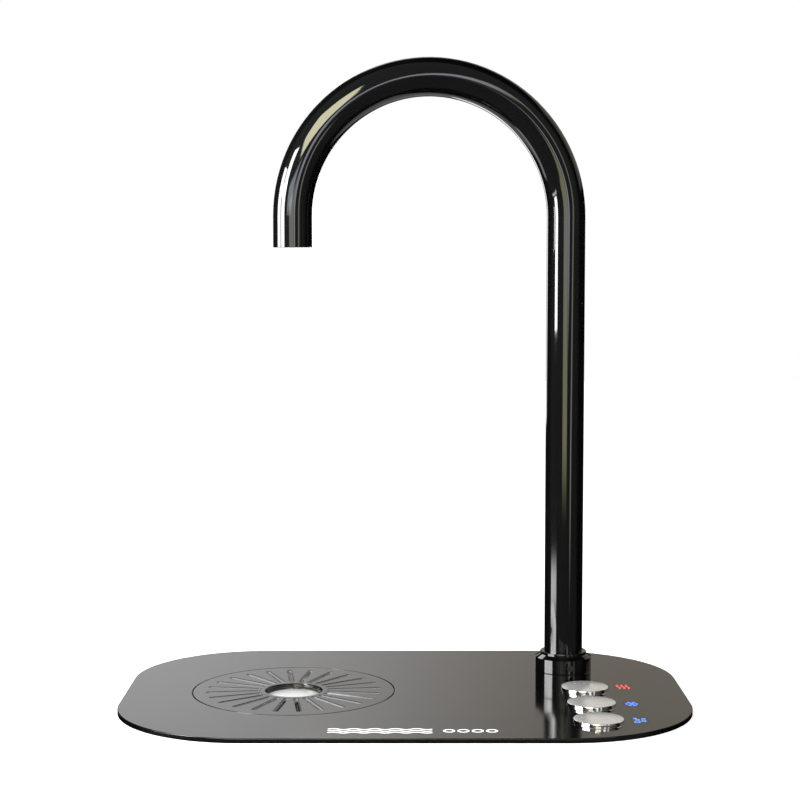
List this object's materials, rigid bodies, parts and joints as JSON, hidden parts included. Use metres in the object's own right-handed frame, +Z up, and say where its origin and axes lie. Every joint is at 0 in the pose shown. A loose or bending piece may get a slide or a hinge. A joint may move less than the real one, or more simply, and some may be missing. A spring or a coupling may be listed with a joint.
{
  "type": "countertop water dispenser",
  "caption": "Worktop water dispenser: swan-neck swivel spout over a flush slotted drip tray, with push buttons and lit symbols in an oval gloss-black deck.",
  "frame": {"origin": "centre of the deck outline, at the level of the worktop it is fixed to", "axes": "+Z up, +X from the drip tray towards the tap and buttons, +Y away from the user"},
  "size_m": [0.36, 0.238, 0.5427],
  "materials": {
    "gloss_black": "deep gloss black coating",
    "button_chrome": "polished chrome",
    "polished_steel": "polished stainless steel",
    "brushed_steel": "satin pressed stainless steel",
    "tail_steel": "drawn stainless tube",
    "zinc_steel": "bright zinc plate",
    "spring_steel": "spring wire",
    "brass": "machined brass",
    "black_rubber": "matt moulded rubber",
    "black_plastic": "fine spark-textured plastic",
    "white_plastic": "natural white plastic",
    "window_hot": "tinted window, lit red",
    "window_chilled": "tinted window, lit blue",
    "window_sparkling": "tinted window, lit light blue",
    "lamp_white": "lamp package",
    "board_green": "solder-masked circuit board"
  },
  "bodies": {
    "base": {"deck_plate": "gloss_black", "deck_gasket": "black_rubber", "deck_studs": "zinc_steel", "clamp_brackets": "zinc_steel", "clamp_nuts": "zinc_steel", "drip_bowl": "brushed_steel", "bowl_gasket": "black_rubber", "bowl_studs": "zinc_steel", "bowl_nuts": "zinc_steel", "waste_body": "black_plastic", "waste_seal": "black_rubber", "waste_washer": "black_rubber", "waste_nut": "black_plastic", "base_collar": "gloss_black", "collar_seal": "black_rubber", "tap_shank": "brass", "swivel_bush": "white_plastic", "shank_seal_washer": "black_rubber", "shank_steel_washer": "zinc_steel", "shank_nut": "brass", "button_bushes": "button_chrome", "bush_nuts": "zinc_steel", "button_switches": "black_plastic", "hot_window": "window_hot", "chilled_window": "window_chilled", "sparkling_window": "window_sparkling", "status_lamps": "lamp_white", "control_board": "board_green", "board_pillars": "zinc_steel", "control_housing": "black_plastic", "housing_screws": "zinc_steel", "wiring_socket": "white_plastic"},
    "spout": {"spout_tube": "gloss_black", "swivel_collar": "gloss_black", "trim_ring": "gloss_black", "stop_screw": "zinc_steel", "swivel_spigot": "brass", "thrust_washer": "white_plastic", "outlet_nozzle": "black_plastic", "hot_line": "white_plastic", "chilled_line": "white_plastic", "sparkling_line": "white_plastic", "inlet_tails": "tail_steel"},
    "grille": {"drip_grille": "gloss_black", "grille_pads": "black_rubber"},
    "strainer": {"splash_cap": "polished_steel", "strainer_basket": "brushed_steel"},
    "hot_button": {"hot_cap": "button_chrome", "hot_stem": "zinc_steel", "hot_spring": "spring_steel", "hot_clip": "spring_steel"},
    "chilled_button": {"chilled_cap": "button_chrome", "chilled_stem": "zinc_steel", "chilled_spring": "spring_steel", "chilled_clip": "spring_steel"},
    "sparkling_button": {"sparkling_cap": "button_chrome", "sparkling_stem": "zinc_steel", "sparkling_spring": "spring_steel", "sparkling_clip": "spring_steel"}
  },
  "joints": [
    {"name": "spout_swivel", "type": "hinge", "parent": "base", "child": "spout", "pos_m": [0.1048, 0.025, 0.011], "axis": [0, 0, 1], "range_deg": [-60, 60]},
    {"name": "grille_lift", "type": "slide", "parent": "base", "child": "grille", "axis": [0, 0, 1], "range_m": [0, 0.06]},
    {"name": "strainer_lift", "type": "slide", "parent": "base", "child": "strainer", "axis": [0, 0, 1], "range_m": [0, 0.09]},
    {"name": "hot_press", "type": "slide", "parent": "base", "child": "hot_button", "axis": [0, 0, -1], "range_m": [0, 0.0013], "stiffness_N_per_m": 900, "springref_m": -0.0012, "deforming": ["hot_spring"]},
    {"name": "chilled_press", "type": "slide", "parent": "base", "child": "chilled_button", "axis": [0, 0, -1], "range_m": [0, 0.0013], "stiffness_N_per_m": 900, "springref_m": -0.0012, "deforming": ["chilled_spring"]},
    {"name": "sparkling_press", "type": "slide", "parent": "base", "child": "sparkling_button", "axis": [0, 0, -1], "range_m": [0, 0.0013], "stiffness_N_per_m": 900, "springref_m": -0.0012, "deforming": ["sparkling_spring"]}
  ]
}
